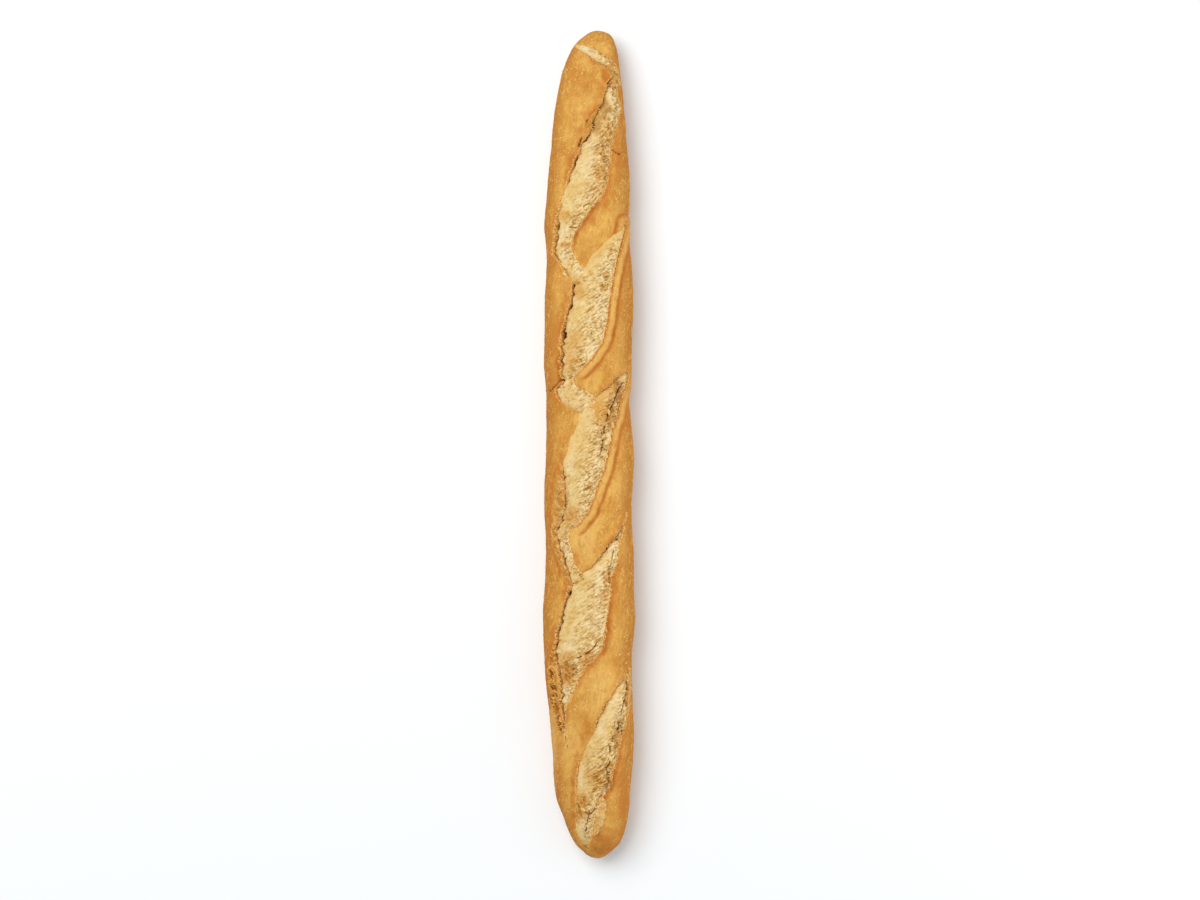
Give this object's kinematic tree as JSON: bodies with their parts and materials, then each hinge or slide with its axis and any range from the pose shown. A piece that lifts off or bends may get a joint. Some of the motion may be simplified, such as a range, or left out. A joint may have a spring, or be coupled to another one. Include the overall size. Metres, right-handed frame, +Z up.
{
  "type": "baguette",
  "caption": "Long crusty bread loaf with slanting scores that opened into pale torn blooms, on a flat base; food to display, slice or serve.",
  "frame": {"origin": "centre of the bounding box at its lowest plane, which is the flat base the loaf stands on", "axes": "+X along the length towards the slimmer, pointed end, +Z up through the scored crown, +Y to the side that the lower ends of the scores run to"},
  "size_m": [0.6, 0.0664, 0.048],
  "materials": {
    "crust": "golden baked crust, matt with a faint sheen, browner along the torn lips, paler on the flaps between the scores",
    "crumb": "pale cream bloom inside the scores, dry and matt, finely wrinkled and pitted, toasted in patches"
  },
  "bodies": {
    "root": {"baguette": "crust"}
  },
  "joints": []
}
